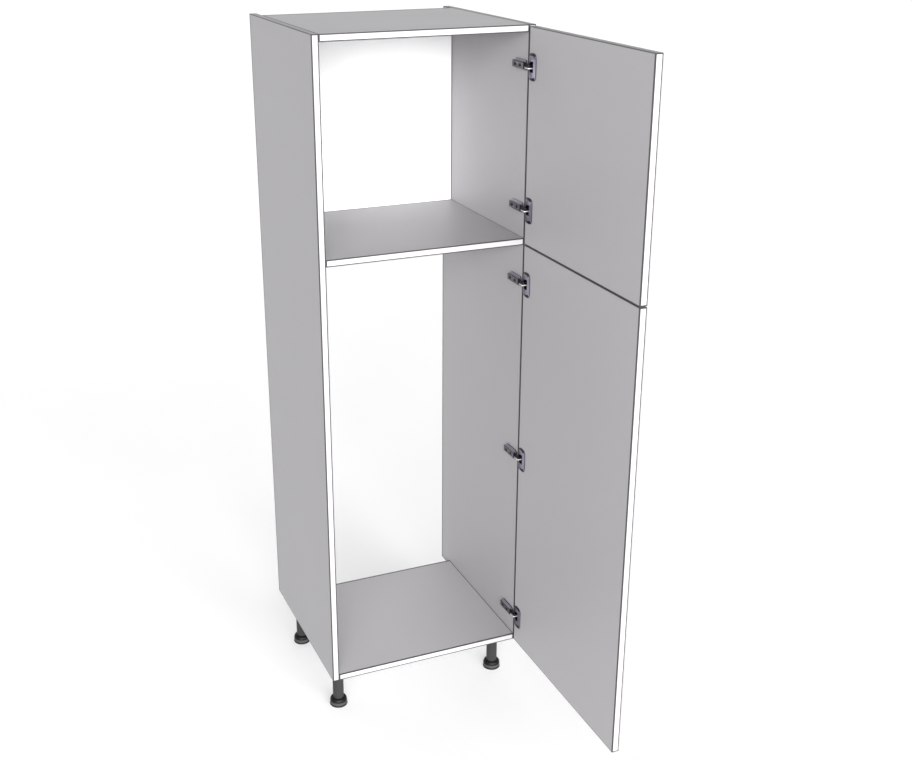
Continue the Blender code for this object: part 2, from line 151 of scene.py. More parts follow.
# Angles in degrees and lengths in metres for every mesh made here.
meshLook = {
    "smoothAngle": 35,
    "bevelAngle": 32,
    "flatAngle": 2,
    "mergeGap": 0.00001,
    "bevelSteps": 2,
    "cornerSteps": 6,
    "arcSteps": 5,
}


def meshFrom(name, shape):
    bmesh.ops.recalc_face_normals(shape, faces=shape.faces)
    mesh = bpy.data.meshes.new(name)
    shape.to_mesh(mesh)
    shape.free()
    return mesh


def shaded(mesh, finishes):
    # smooth light over the curves, and one material for each finish
    mesh.shade_smooth()
    mesh.set_sharp_from_angle(angle=math.radians(meshLook["smoothAngle"]))
    mesh.materials.clear()
    for finish in finishes:
        mesh.materials.append(finish.material)
    return mesh


def softened(mesh, width):
    # the same form with its sharp edges rounded off
    look = meshLook
    shape = bmesh.new()
    shape.from_mesh(mesh)
    bmesh.ops.remove_doubles(shape, verts=shape.verts, dist=look["mergeGap"])
    flat, steep = math.radians(look["flatAngle"]), math.radians(look["bevelAngle"])
    bmesh.ops.dissolve_limit(shape, angle_limit=flat, verts=shape.verts, edges=shape.edges)
    sharp = [edge for edge in shape.edges if edge.is_manifold and edge.calc_face_angle() > steep]
    bmesh.ops.bevel(shape, geom=sharp, offset=width, segments=look["bevelSteps"], profile=0.5, affect="EDGES")
    return meshFrom(mesh.name, shape)


def skinned(name, rings, loop=False):
    # a skin over rings of points, closed at both ends, or joined end to end where it is a loop
    shape = bmesh.new()
    rows = [[shape.verts.new(point) for point in ring] for ring in rings]
    pairs = list(zip(rows, rows[1:]))
    if loop:
        pairs.append((rows[-1], rows[0]))
    else:
        shape.faces.new(rows[0])
        shape.faces.new(rows[-1])
    for lower, upper in pairs:
        for step in range(len(lower)):
            following = (step + 1) % len(lower)
            shape.faces.new((lower[step], lower[following], upper[following], upper[step]))
    return meshFrom(name, shape)


def circle(radius, height, segments):
    turns = [2 * math.pi * step / segments for step in range(segments)]
    return [(radius * math.cos(turn), radius * math.sin(turn), height) for turn in turns]


def turned(name, profile, segments, loop=False):
    return skinned(name, [circle(radius, height, segments) for radius, height in profile], loop)


def roundedBox(halfWidth, halfLength, corner, height):
    # a level rectangle with round corners, as points in order
    points = []
    steps = meshLook["cornerSteps"]
    for quarter in range(4):
        side = 1 if quarter in (0, 3) else -1
        end = 1 if quarter in (0, 1) else -1
        for step in range(steps + 1):
            angle = (quarter + step / steps) * math.pi / 2
            points.append((side * (halfWidth - corner) + corner * math.cos(angle),
                           end * (halfLength - corner) + corner * math.sin(angle), height))
    return points


def filleted(corners):
    # an outline of (across, along, radius) corners, with an arc in place of each corner that has a radius
    points = []
    steps = meshLook["arcSteps"]
    for index, (across, along, radius) in enumerate(corners):
        here = Vector((across, along))
        if radius == 0:
            points.append(here)
            continue
        before = (Vector(corners[index - 1][:2]) - here).normalized()
        after = (Vector(corners[(index + 1) % len(corners)][:2]) - here).normalized()
        half = before.angle(after) / 2
        centre = here + (before + after).normalized() * (radius / math.sin(half))
        reach = radius / math.tan(half)
        start = here + before * reach - centre
        end = here + after * reach - centre
        first = math.atan2(start.y, start.x)
        sweep = (math.atan2(end.y, end.x) - first + math.pi) % (2 * math.pi) - math.pi
        for step in range(steps + 1):
            angle = first + sweep * step / steps
            points.append(centre + radius * Vector((math.cos(angle), math.sin(angle))))
    return points


def carved(mesh, steps):
    # the mesh after Boolean steps, each an operation and the mesh that does it
    collection = bpy.context.scene.collection
    body = bpy.data.objects.new(mesh.name, mesh)
    collection.objects.link(body)
    helpers = [body]
    for operation, toolMesh in steps:
        tool = bpy.data.objects.new("tool", toolMesh)
        collection.objects.link(tool)
        helpers.append(tool)
        modifier = body.modifiers.new("cut", "BOOLEAN")
        modifier.operation = operation
        modifier.solver = "EXACT"
        modifier.object = tool
    graph = bpy.context.evaluated_depsgraph_get()
    result = bpy.data.meshes.new_from_object(body.evaluated_get(graph))
    result.name = mesh.name
    for helper in helpers:
        bpy.data.objects.remove(helper, do_unlink=True)
    return result


def addPiece(name, mesh, place, body, node=None):
    piece = bpy.data.objects.new(name, mesh)
    bpy.context.scene.collection.objects.link(piece)
    piece.location = place
    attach(piece, body)
    if node:
        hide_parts(node)


def middle(node):
    low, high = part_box(node)
    return (low + high) / 2


# Melamine boards and their edging. The photograph draws each arris as a dark line, which is kept here as the
# fine line that the glue and the cut leave along a real board. It is wider along the rear, where no edging
# covers the cut.
boardLook = {
    "grey": (0.350, 0.342, 0.354),
    "white": (0.900, 0.898, 0.900),
    "line": (0.072, 0.070, 0.074),
    "lineStart": 0.0014,
    "lineEnd": 0.0028,
    "rearShare": 0.36,
    "cloudScale": 2.6,
    "cloudDepth": 0.030,
    "pearlScale": 620.0,
    "pearlDepth": 0.030,
    "pearlHeight": 0.00002,
    "roughness": 0.46,
    "roughnessDepth": 0.10,
    "gloss": 0.20,
}
# The photograph doesn't show the doors' outer faces. They are a deeper grey, so that a closed door doesn't
# glare.
outerLook = {
    "shade": 0.37,
    "start": 0.0004,
    "end": 0.0009,
}
# The cut ends, at the top and the bottom of each upright board, are darker by these shades.
endLook = {
    "start": 0.0003,
    "end": 0.0008,
}
endShade = {
    "upper_back_panel": 0.93,
    "upper_door_panel": 0.45,
    "lower_door_panel": 0.45,
    "left_side_panel": 0.22,
    "right_side_panel": 0.50,
}
# Painted light and shade: each board's factor, next to 1, darkens the boards that the lamps light most and
# lightens those in shade, to even out the light across them.
boardPaintedLight = {
    "left_side_panel": 0.86,
    "top_panel": 0.89,
    "fixed_shelf": 0.89,
    "bottom_panel": 1.24,
    "lower_door_panel": 1.02,
}
edgingLook = {
    "white": (0.450, 0.448, 0.450),
    "line": (0.045, 0.043, 0.047),
    "lineStart": 0.0023,
    "lineEnd": 0.0035,
    "streakScale": 600.0,
    "streakShare": 0.02,
    "streakDepth": 0.020,
    "streakHeight": 0.00002,
    "roughness": 0.38,
    "roughnessDepth": 0.12,
    "gloss": 0.10,
}


def dressBoard(node, colour):
    look = boardLook
    finish = Finish(node, look["roughness"], look["gloss"])
    low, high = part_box(node)
    across, along, height = finish.axes(finish.place)
    cloud = finish.noise(look["cloudScale"], detail=3)
    pearl = finish.noise(look["pearlScale"], detail=1)
    # painted light and shade: the board's factor evens out the lamps' light on it
    tone = boardPaintedLight.get(node, 1) + cloud * look["cloudDepth"] + pearl * look["pearlDepth"]
    rearShare = look["rearShare"]
    if "door" in node:
        rearShare = 1
        outer = finish.fade(high.x - across, outerLook["start"], outerLook["end"])
        tone = tone - outer * outerLook["shade"]
    if node in endShade:
        end = finish.fade((height - low.z).least(high.z - height), endLook["start"], endLook["end"])
        tone = tone - end * endShade[node]
    line = finish.fade(arrisGap(finish, low, high, rearShare), look["lineStart"], look["lineEnd"])
    finish.show("Base Color", finish.blend(line, finish.tint(colour, tone), look["line"]))
    finish.show("Roughness", look["roughness"] + (cloud + pearl) * look["roughnessDepth"])
    finish.bump(pearl, look["pearlHeight"])
    coat(node, finish)


def dressEdging(node):
    look = edgingLook
    finish = Finish(node, look["roughness"], look["gloss"])
    low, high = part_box(node)
    line = finish.fade(arrisGap(finish, low, high), look["lineStart"], look["lineEnd"])
    reach = list(high - low)
    longest = reach.index(max(reach))
    stretch = tuple(look["streakShare"] if axis == longest else 1 for axis in range(3))   # along the strip
    streak = finish.noise(look["streakScale"], detail=2, stretch=stretch)
    white = finish.tint(look["white"], 1 + streak * look["streakDepth"])
    finish.show("Base Color", finish.blend(line, white, look["line"]))
    finish.show("Roughness", look["roughness"] + streak * look["roughnessDepth"])
    finish.bump(streak, look["streakHeight"])
    coat(node, finish)


for node in ("left_side_panel", "right_side_panel", "top_panel", "fixed_shelf", "bottom_panel",
             "upper_door_panel", "lower_door_panel"):
    dressBoard(node, boardLook["grey"])
dressBoard("upper_back_panel", boardLook["white"])
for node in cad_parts:
    if node.endswith("_edging"):
        dressEdging(node)
print("boards and edging dressed")


# Plated steel.
metalLook = {
    "cup": (0.270, 0.245, 0.325),
    "cupEnd": (0.012, 0.011, 0.016),
    "cupEndStart": 0.0280,
    "cupEndBlur": 0.0006,
    "cupShade": 0.55,
    "cupShadeReach": 0.0130,
    # painted shade: near-black for the inside of the cup's bowl and the flange's side faces
    "bowl": (0.012, 0.011, 0.016),
    "arm": (0.090, 0.089, 0.097),
    "armMetallic": 0.5,
    # painted light: a lighter copy of the arm's steel for its level sides
    "armLitSide": (0.330, 0.312, 0.372),
    "sideMetallic": 0.35,
    # painted shade: near-black steel for the arm's ends and rounded edges, and the plate's edges and rail
    "edge": (0.022, 0.021, 0.026),
    # painted shade: near-black for the link's strap and strip
    "link": (0.030, 0.028, 0.036),
    # painted light: a bright copy of the steel for the inner link's edge
    "bar": (0.620, 0.610, 0.630),
    "barMetallic": 0.2,
    "plate": (0.250, 0.235, 0.285),
    "plateLineStart": 0.0008,
    "plateLineEnd": 0.0020,
    "dark": (0.004, 0.004, 0.005),
    "roughness": 0.34,
    "gloss": 0.20,
    "metallic": 0.85,
    "brushScale": 1400.0,
    "brushStretch": (1.0, 1.0, 0.06),
    "brushDepth": 0.16,
    "brushHeight": 0.000012,
    "cloudScale": 60.0,
    "cloudDepth": 0.20,
}


def metalFinish(name, colour, endColour=None, metallic=metalLook["metallic"]):
    look = metalLook
    finish = Finish(name, look["roughness"], look["gloss"], metallic)
    brush = finish.noise(look["brushScale"], detail=2, stretch=look["brushStretch"])
    cloud = finish.noise(look["cloudScale"], detail=3)
    tone = 1 + brush * look["brushDepth"] + cloud * look["cloudDepth"]
    base = colour
    if endColour:
        # dark at both ends, and in the shade of the door's edge towards the pin
        across, along, height = finish.axes(finish.place)
        start, blur = look["cupEndStart"], look["cupEndBlur"]
        middlePart = finish.fade(height.most(0 - height), start - blur, start + blur)
        base = finish.blend(middlePart, endColour, colour)
        tone = tone - finish.fade(0 - along, 0, look["cupShadeReach"]) * look["cupShade"]
    finish.show("Base Color", finish.tint(base, tone))
    finish.show("Roughness", look["roughness"] + brush * look["brushDepth"])
    finish.bump(brush, look["brushHeight"])
    return finish


def plateFinish():
    # painted shade: dark along the outline, where the plate's cut edge turns over
    look = metalLook
    finish = Finish("plate_metal", look["roughness"], look["gloss"], look["sideMetallic"])
    brush = finish.noise(look["brushScale"], detail=2, stretch=look["brushStretch"])
    gap = arrisGap(finish, *hingeBox("hinge_plate"))
    line = finish.fade(gap, look["plateLineStart"], look["plateLineEnd"])
    plate = finish.tint(look["plate"], 1 + brush * look["brushDepth"])
    finish.show("Base Color", finish.blend(line, plate, look["edge"]))
    finish.show("Roughness", look["roughness"] + brush * look["brushDepth"])
    finish.bump(brush, look["brushHeight"])
    return finish


armMetal = metalFinish("arm_metal", metalLook["arm"], metallic=metalLook["armMetallic"])
sidePaintedLightMetal = metalFinish("arm_side_painted_light_metal", metalLook["armLitSide"], metallic=metalLook["sideMetallic"])
edgePaintedShadeMetal = metalFinish("edge_painted_shade_metal", metalLook["edge"])
linkPaintedShadeMetal = metalFinish("link_painted_shade_metal", metalLook["link"])
barPaintedLightMetal = metalFinish("bar_painted_light_metal", metalLook["bar"], metallic=metalLook["barMetallic"])
cupMetal = metalFinish("cup_metal", metalLook["cup"], metalLook["cupEnd"])
bowlPaintedShadeMetal = metalFinish("bowl_painted_shade_metal", metalLook["bowl"])
darkSteel = metalFinish("dark_steel", metalLook["dark"])

# Every hinge has the same pieces, made once about the middle of its pin.
hingePlaces = ("upper_top", "upper_bottom", "lower_top", "lower_middle", "lower_bottom")
firstPin = middle("hinge_pin_upper_top")


def hingeBox(piece):
    low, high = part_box(piece + "_upper_top")
    return low - firstPin, high - firstPin


plateMetal = plateFinish()


def doorOf(place):
    return "upper_door" if place.startswith("upper") else "lower_door"


def fromPin(mesh):
    # a CAD node's mesh, moved so that its pin's middle is the origin
    copy = mesh.copy()
    copy.transform(Matrix.Translation(-firstPin))
    return copy


# The arm is a pressed channel. Its back is round at the edges and falls a little towards the open nose.
armLook = {
    "frontStep": 0.0015,
    "plateThickness": 0.0033,
    "corner": 0.0030,
    "backRound": 0.0017,
    "roundSteps": 6,
    "fall": 0.0008,
    "wall": 0.0008,
    "slotHalfLength": 0.0058,
    "slotHalfWidth": 0.0038,
    "slotCorner": 0.0034,
    "frontSlot": 0.0187,
    "rearSlot": 0.0465,
    "noseHalfWidth": 0.0083,
    "noseTop": 0.0170,
    "noseDepth": 0.0040,
    "arris": 0.00012,
    "flatness": 0.97,
}


def armReach():
    # the channel's own box, without the neck
    armLow, armHigh = hingeBox("hinge_arm")
    plateLow, plateHigh = hingeBox("hinge_plate")
    low = Vector((armLow.x, plateLow.y + armLook["frontStep"], armLow.z))
    return low, Vector((plateHigh.x - armLook["plateThickness"], armHigh.y, armHigh.z))


def armBack(y):
    low, high = armReach()
    return low.x + armLook["fall"] * (high.y - y) / (high.y - low.y)


def armSlots():
    front = armReach()[0].y
    return [front + armLook["frontSlot"], front + armLook["rearSlot"]]


def boxAt(name, low, high):
    ring = [(low[0], low[1]), (high[0], low[1]), (high[0], high[1]), (low[0], high[1])]
    return skinned(name, [[(x, y, z) for x, y in ring] for z in (low[2], high[2])])


def armMesh():
    look = armLook
    low, high = armReach()
    halfLength = (high.y - low.y) / 2
    halfWidth = (high.z - low.z) / 2
    centre = (low.y + high.y) / 2

    def ring(inset, drop, level=None):
        flat = roundedBox(halfLength - inset, halfWidth - inset, look["corner"] - inset, 0)
        return [(armBack(centre + y) + drop if level is None else level, centre + y, z)
                for y, z, base in flat]

    rings = [ring(look["wall"], look["wall"]), ring(look["wall"], 0, high.x), ring(0, 0, high.x)]
    for step in range(look["roundSteps"] + 1):
        angle = step / look["roundSteps"] * math.pi / 2
        inset, drop = [look["backRound"] * (1 - turn(angle)) for turn in (math.cos, math.sin)]
        rings.append(ring(inset, drop))
    nose = boxAt("nose", (-look["noseTop"], low.y - look["noseDepth"], -look["noseHalfWidth"]),
                 (0, low.y + look["noseDepth"], look["noseHalfWidth"]))
    cuts = [("DIFFERENCE", nose)]
    outline = (look["slotHalfWidth"], look["slotHalfLength"], look["slotCorner"])
    depth = look["noseDepth"]
    for y in armSlots():
        slot = skinned("slot", [roundedBox(*outline, reach) for reach in (-depth, depth)])
        slot.transform(Matrix.Translation((low.x, y, 0)) @ Matrix.Rotation(math.radians(90), 4, "Y"))
        cuts.append(("DIFFERENCE", slot))
    arm = softened(carved(skinned("arm", rings), cuts), look["arris"])
    mesh = shaded(arm, [armMetal, edgePaintedShadeMetal, sidePaintedLightMetal])
    # Painted light and shade: the arm is one steel, but its level sides take a lighter copy of it and its
    # ends and rounded edges a near-black one.
    for polygon in mesh.polygons:
        if abs(polygon.normal.z) > look["flatness"]:
            polygon.material_index = 2
        elif abs(polygon.normal.x) < look["flatness"]:
            polygon.material_index = 1
    return mesh


# A wide strap and a bent strip run from inside the arm round to the pin in the cup, on a rivet through the
# arm, in a near-black steel as painted shade. The bar is the inner link's edge, which lies along the strip,
# in a bright steel as painted light.
linkLook = {
    "strapHalfWidth": 0.0082,
    "strapFace": 0.0156,
    "strapThickness": 0.0014,
    "strapShoulder": 0.0085,
    "strapTip": 0.0035,
    "stripHalfWidth": 0.0038,
    "stripFace": 0.0159,
    "stripThickness": 0.0009,
    "stripBend": -0.0017,
    "bendRadius": 0.0030,
    "round": 0.0015,
    "root": 0.0260,
    "eyeRadius": 0.0022,
    "eyeSegments": 32,
    "rivetRadius": 0.0016,
    "rivetPlace": (-0.0149, 0.0245),
    "rivetHead": 0.0004,
    "barFace": 0.0167,
    "barThickness": 0.0009,
    "barBend": -0.0019,
    "barRadius": 0.0032,
    "barRoot": 0.0225,
    "barEnd": -0.0030,
    "barLow": -0.0062,
    "barHigh": -0.0034,
    "arris": 0.0002,
}


def strapMesh():
    look = linkLook
    wide, narrow = look["strapHalfWidth"], look["stripHalfWidth"]
    outline = filleted([
        (look["root"], -wide, 0),
        (look["root"], wide, 0),
        (look["strapShoulder"], wide, look["round"]),
        (look["strapTip"], narrow, look["round"]),
        (look["strapTip"], -narrow, look["round"]),
        (look["strapShoulder"], -wide, look["round"]),
    ])
    faces = (-look["strapFace"], look["strapThickness"] - look["strapFace"])
    return skinned("link", [[(x, y, z) for y, z in outline] for x in faces])


def bentStrip(name, face, root, bend, radius, thickness, end, low, high):
    # a strip that runs from its root along the arm to the bend, and then towards the pin
    outline = filleted([
        (-face, root, 0),
        (-face, bend, radius),
        (end, bend, 0),
        (end, bend + thickness, 0),
        (thickness - face, bend + thickness, radius - thickness),
        (thickness - face, root, 0),
    ])
    return skinned(name, [[(x, y, z) for x, y in outline] for z in (low, high)])


def stripMesh():
    look = linkLook
    return bentStrip("strip", look["stripFace"], look["root"], look["stripBend"], look["bendRadius"],
                     look["stripThickness"], 0, -look["stripHalfWidth"], look["stripHalfWidth"])


def roundBar(name, radius, halfLength):
    return turned(name, [(radius, -halfLength), (radius, halfLength)], linkLook["eyeSegments"])


def linkMesh():
    look = linkLook
    eye = roundBar("eye", look["eyeRadius"], look["stripHalfWidth"] - look["arris"])
    rivet = roundBar("rivet", look["rivetRadius"], hingeBox("hinge_arm")[1].z + look["rivetHead"])
    rivet.transform(Matrix.Translation((*look["rivetPlace"], 0)))
    joined = carved(strapMesh(), [("UNION", stripMesh()), ("UNION", eye), ("UNION", rivet)])
    return shaded(softened(joined, look["arris"]), [linkPaintedShadeMetal])


def barMesh():
    look = linkLook
    bar = bentStrip("bar", look["barFace"], look["barRoot"], look["barBend"], look["barRadius"],
                    look["barThickness"], look["barEnd"], look["barLow"], look["barHigh"])
    return shaded(softened(bar, look["arris"]), [barPaintedLightMetal])


# The fixing screws in the arm's back, sunk a little in their slots.
armScrewLook = {
    "headRadius": 0.0031,
    "headHeight": 0.0012,
    "headRound": 0.0003,
    "shankRadius": 0.0024,
    "length": 0.0055,
    "sunk": 0.0007,
    "crossLength": 0.0019,
    "crossWidth": 0.00045,
    "crossDepth": 0.0009,
    "segments": 40,
    "arris": 0.00008,
}


def armScrewMesh():
    # its head's face is the origin, and it points along +X
    look = armScrewLook
    profile = [(look["shankRadius"], look["length"]), (look["shankRadius"], look["headHeight"]),
               (look["headRadius"], look["headHeight"]), (look["headRadius"], look["headRound"]),
               (look["headRadius"] - look["headRound"], 0)]
    blank = turned("arm_screw", profile, look["segments"])
    blank.transform(Matrix.Rotation(math.radians(90), 4, "Y"))
    cuts = []
    cross = (look["crossLength"], look["crossWidth"])
    for halfY, halfZ in (cross, cross[::-1]):
        bar = boxAt("cross", (-look["crossDepth"], -halfY, -halfZ), (look["crossDepth"], halfY, halfZ))
        cuts.append(("DIFFERENCE", bar))
    return shaded(softened(carved(blank, cuts), look["arris"]), [darkSteel])


# The cup keeps the CAD form, with its edges eased. The inside of its bowl and the flange's side faces are
# near-black, a painted shade. The pin and the cup's screws have a finer edge.
cupLook = {
    "edge": 0.00035,
    "steelEdge": 0.0001,
    "bowlRadius": 0.0168,
    "bowlMiddle": -0.0133,
    "flangeTop": 0.00010,
    "flatness": 0.90,
}


def cupMesh():
    look = cupLook
    mesh = softened(fromPin(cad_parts["hinge_cup_upper_top"].data), look["edge"])
    shaded(mesh, [cupMetal, bowlPaintedShadeMetal])
    face = hingeBox("hinge_cup")[0].x + look["flangeTop"]
    # painted shade: the bowl's inside and the flange's side faces take the near-black bowl steel
    for polygon in mesh.polygons:
        reach = Vector((polygon.center.y - look["bowlMiddle"], polygon.center.z)).length
        inBowl = polygon.center.x > face and reach < look["bowlRadius"]
        if inBowl or abs(polygon.normal.x) < look["flatness"]:
            polygon.material_index = 1
    return mesh


def easedMesh(node, finish, width):
    return shaded(softened(fromPin(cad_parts[node].data), width), [finish])


def plateMesh():
    # painted shade: its edges are dark, and so is the rail that shows through the arm's slots
    mesh = easedMesh("hinge_plate_upper_top", plateMetal, cupLook["edge"])
    mesh.materials.append(edgePaintedShadeMetal.material)
    railLow = armReach()[1].x - armLook["wall"]
    for polygon in mesh.polygons:
        if abs(polygon.normal.x) < cupLook["flatness"] or polygon.center.x < railLow:
            polygon.material_index = 1
    return mesh


hingeMeshes = {
    "arm": armMesh(),
    "link": linkMesh(),
    "bar": barMesh(),
    "arm_screw": armScrewMesh(),
    "cup": cupMesh(),
    "plate": plateMesh(),
    "pin": easedMesh("hinge_pin_upper_top", darkSteel, cupLook["steelEdge"]),
    "screw_high": easedMesh("cup_screw_upper_top_high", darkSteel, cupLook["steelEdge"]),
    "screw_low": easedMesh("cup_screw_upper_top_low", darkSteel, cupLook["steelEdge"]),
}


def addHinge(place):
    pin = middle("hinge_pin_" + place)
    door = doorOf(place)
    addPiece("fine_arm_" + place, hingeMeshes["arm"], pin, "cabinet", "hinge_arm_" + place)
    addPiece("hinge_link_" + place, hingeMeshes["link"], pin, "cabinet")
    addPiece("link_bar_" + place, hingeMeshes["bar"], pin, "cabinet")
    addPiece("fine_plate_" + place, hingeMeshes["plate"], pin, "cabinet", "hinge_plate_" + place)
    addPiece("fine_cup_" + place, hingeMeshes["cup"], pin, door, "hinge_cup_" + place)
    addPiece("fine_pin_" + place, hingeMeshes["pin"], pin, door, "hinge_pin_" + place)
    for end in ("high", "low"):
        node = f"cup_screw_{place}_{end}"
        addPiece("fine_" + node, hingeMeshes["screw_" + end], pin, door, node)
    for end, y in zip(("front", "rear"), armSlots()):
        spot = pin + Vector((armBack(y) + armScrewLook["sunk"], y, 0))
        addPiece(f"arm_screw_{place}_{end}", hingeMeshes["arm_screw"], spot, "cabinet")


for place in hingePlaces:
    addHinge(place)
print("hinges built")


# Moulded plastic.
plasticLook = {
    "tube": (0.030, 0.029, 0.030),
    "foot": (0.006, 0.006, 0.006),
    # painted light: the lighter band round the foot's upright wall
    "wall": (0.055, 0.054, 0.056),
    "litBandStart": 0.0062,
    "litBandEnd": 0.0145,
    "litBandBlur": 0.0008,
    "grainScale": 900.0,
    "grainDepth": 0.12,
    "grainHeight": 0.00003,
    "roughness": 0.45,
    "gloss": 0.15,
}


def plasticFinish(name, colour, litBandColour=None):
    look = plasticLook
    finish = Finish(name, look["roughness"], look["gloss"])
    grain = finish.noise(look["grainScale"], detail=2)
    base = colour
    # painted light: the foot's wall is lighter between two heights, for the light from the floor
    if litBandColour:
        height = finish.axes(finish.place)[2]
        blur = look["litBandBlur"]
        above = finish.fade(height, look["litBandStart"] - blur, look["litBandStart"] + blur)
        below = finish.fade(height, look["litBandEnd"] - blur, look["litBandEnd"] + blur)
        base = finish.blend((1 - above).least(below), colour, litBandColour)
    finish.show("Base Color", finish.tint(base, 1 + grain * look["grainDepth"]))
    finish.show("Roughness", look["roughness"] + grain * look["grainDepth"])
    finish.bump(grain, look["grainHeight"])
    return finish


tubePlastic = plasticFinish("tube_plastic", plasticLook["tube"])
socketPlastic = plasticFinish("socket_plastic", plasticLook["foot"])
footPlastic = plasticFinish("foot_plastic", plasticLook["foot"], plasticLook["wall"])

# A leg: socket under the cabinet, tube, and a foot whose threaded stem goes up into the tube. Heights are
# from the floor and lengths in metres.
legLook = {
    "segments": 72,
    "tubeWall": 0.0022,
    "tubeRound": 0.0006,
    "baseRadius": 0.0250,
    "baseRound": 0.0007,
    "brimLow": 0.0016,
    "brimHigh": 0.0034,
    "wallRadius": 0.0256,
    "wallLow": 0.0065,
    "wallHigh": 0.0140,
    "shoulderTop": 0.0260,
    "shoulderSteps": 14,
    "collarRadius": 0.0185,
    "collarRound": 0.0005,
    "grooveRadius": 0.0168,
    "grooveFloor": 0.0170,
    "stemRadius": 0.0139,
    "threadPitch": 0.0030,
    "threadDepth": 0.0007,
    "threadSteps": 8,
    "threadStart": 0.0190,
    "threadEnd": 0.0600,
}
socketLook = {
    "plateCorner": 0.006,
    "plateThickness": 0.004,
    "plateRound": 0.0010,
    "collarRadius": 0.0195,
    "collarRound": 0.0006,
    "boreRadius": 0.0168,
    "ribs": 8,
    "ribThickness": 0.0018,
    "ribReach": 0.0235,
    "ribFall": 0.0110,
    "ribSink": 0.0010,
    "screwAcross": 0.0215,
    "screwAlong": 0.0175,
    "screwRadius": 0.0034,
    "screwHeight": 0.0016,
    "screwRound": 0.0008,
    "screwCrownShare": 0.2,
    "screwSegments": 24,
}


def footMesh(brimRadius, top):
    look = legLook
    profile = filleted([
        (look["baseRadius"] - 2 * look["baseRound"], 0, 0),
        (look["baseRadius"], 0, look["baseRound"]),
        (brimRadius, look["brimLow"], look["baseRound"]),
        (brimRadius, look["brimHigh"], look["baseRound"]),
        (look["wallRadius"], look["wallLow"], look["baseRound"]),
        (look["wallRadius"], look["wallHigh"], 0),
    ])
    for step in range(1, look["shoulderSteps"]):
        angle = step / look["shoulderSteps"] * math.pi / 2
        radius = look["collarRadius"] + (look["wallRadius"] - look["collarRadius"]) * math.cos(angle)
        height = look["wallHigh"] + (look["shoulderTop"] - look["wallHigh"]) * math.sin(angle)
        profile.append((radius, height))
    profile += filleted([
        (look["collarRadius"], look["shoulderTop"], 0),
        (look["grooveRadius"], look["shoulderTop"], look["collarRound"]),
        (look["grooveRadius"], look["grooveFloor"], 0),
        (look["stemRadius"], look["grooveFloor"], 0),
    ])
    rings = [circle(radius, height, look["segments"]) for radius, height in profile]
    count = round((look["threadEnd"] - look["threadStart"]) / look["threadPitch"] * look["threadSteps"])
    for step in range(count + 1):
        height = look["threadStart"] + step / look["threadSteps"] * look["threadPitch"]
        ring = []
        for x, y, z in circle(1, height, look["segments"]):
            turn = math.atan2(y, x) / (2 * math.pi)
            wave = abs((height / look["threadPitch"] - turn) % 1 * 2 - 1)
            radius = look["stemRadius"] - look["threadDepth"] * wave
            ring.append((x * radius, y * radius, z))
        rings.append(ring)
    rings.append(circle(look["stemRadius"] - look["threadDepth"], top, look["segments"]))
    return shaded(skinned("foot", rings), [footPlastic])


def tubeMesh(radius, low, top):
    look = legLook
    inner = radius - look["tubeWall"]
    profile = filleted([
        (inner, low, look["tubeRound"]),
        (radius, low, look["tubeRound"]),
        (radius, top, look["tubeRound"]),
        (inner, top, look["tubeRound"]),
    ])
    return shaded(turned("tube", profile, look["segments"], loop=True), [tubePlastic])


def socketMesh(halfWidth, halfDepth, low, top):
    # heights are from the cabinet's underside, where the plate's top is
    look = socketLook
    plateLow = top - look["plateThickness"]
    rings = [roundedBox(halfWidth, halfDepth, look["plateCorner"], top),
             roundedBox(halfWidth, halfDepth, look["plateCorner"], plateLow + look["plateRound"]),
             roundedBox(halfWidth - look["plateRound"], halfDepth - look["plateRound"],
                        look["plateCorner"] - look["plateRound"], plateLow)]
    collarTop = plateLow + look["plateRound"]
    edge = look["collarRound"]
    collar = turned("collar", [(look["collarRadius"], collarTop), (look["collarRadius"], low + edge),
                               (look["collarRadius"] - edge, low)], legLook["segments"])
    bore = turned("bore", [(look["boreRadius"], low - edge), (look["boreRadius"], plateLow)],
                  legLook["segments"])
    steps = [("UNION", collar)]
    for turn in range(look["ribs"]):
        near = look["boreRadius"] + look["ribSink"]
        outline = [(near, collarTop), (look["ribReach"], collarTop), (look["ribReach"], plateLow - edge),
                   (near, plateLow - look["ribFall"])]
        faces = (-look["ribThickness"] / 2, look["ribThickness"] / 2)
        rib = skinned("rib", [[(x, y, z) for x, z in outline] for y in faces])
        rib.transform(Matrix.Rotation((turn + 0.5) / look["ribs"] * 2 * math.pi, 4, "Z"))
        steps.append(("UNION", rib))
    steps.append(("DIFFERENCE", bore))
    mesh = carved(skinned("socket", rings), steps)
    return shaded(softened(mesh, look["collarRound"] / 4), [socketPlastic])


def socketScrewMesh():
    # a low round head that hangs from height 0
    look = socketLook
    profile = filleted([
        (look["screwRadius"] * look["screwCrownShare"], -look["screwHeight"], 0),
        (look["screwRadius"], -look["screwHeight"], look["screwRound"]),
        (look["screwRadius"], 0, 0),
    ])
    return shaded(turned("socket_screw", profile, look["screwSegments"]), [darkSteel])


